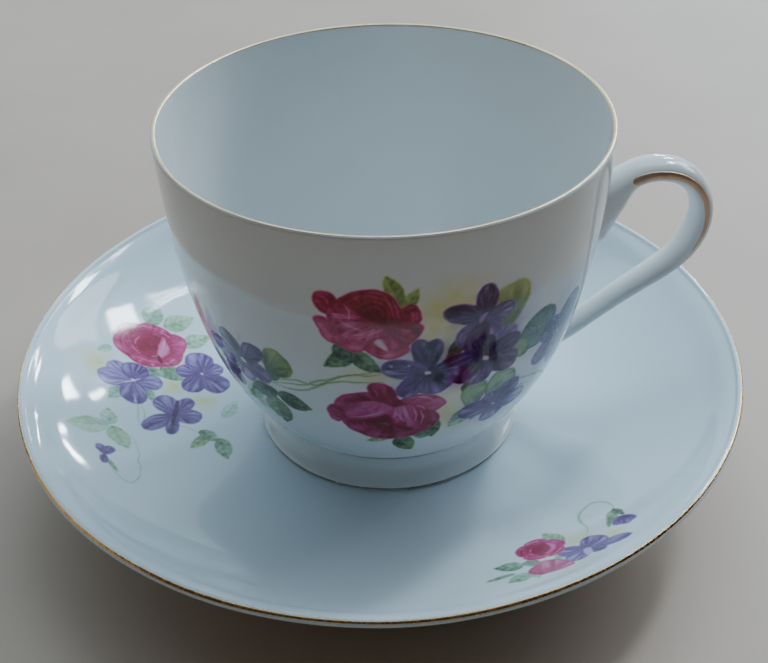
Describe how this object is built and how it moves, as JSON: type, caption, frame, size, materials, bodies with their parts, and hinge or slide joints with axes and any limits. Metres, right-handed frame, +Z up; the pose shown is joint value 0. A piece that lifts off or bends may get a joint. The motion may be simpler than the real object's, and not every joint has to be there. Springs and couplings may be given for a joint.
{
  "type": "teacup with saucer",
  "caption": "Round-bellied porcelain teacup with a loop handle, standing on its shallow saucer, with gilt edges and printed flower sprays.",
  "frame": {"origin": "centre of the circle on which the saucer's foot ring stands, at table height", "axes": "+Z up, +X from the saucer's centre towards the cup's handle, +Y to the back"},
  "size_m": [0.1464, 0.1464, 0.0748],
  "materials": {
    "porcelain": "glossy clear glaze over bluish white porcelain",
    "gilding": "burnished gold film, worn along the edges",
    "enamel_print": "printed flowers in crimson, violet, green and yellow fired on the glaze"
  },
  "bodies": {
    "saucer": {"saucer_plate": "porcelain", "saucer_foot_ring": "porcelain", "saucer_rim_gilding": "gilding", "saucer_large_transfer": "enamel_print", "saucer_front_transfer": "enamel_print", "saucer_back_transfer": "enamel_print"},
    "cup": {"cup_bowl": "porcelain", "cup_foot_ring": "porcelain", "cup_handle": "porcelain", "cup_rim_gilding": "gilding", "cup_foot_gilding": "gilding", "handle_front_gilding": "gilding", "handle_back_gilding": "gilding", "cup_front_garland_transfer": "enamel_print", "cup_left_posy_transfer": "enamel_print", "cup_back_garland_transfer": "enamel_print", "cup_right_posy_transfer": "enamel_print"}
  },
  "joints": [
    {"name": "cup_lift", "type": "slide", "parent": "saucer", "child": "cup", "axis": [0, 0, 1], "range_m": [0, 0.1]}
  ]
}
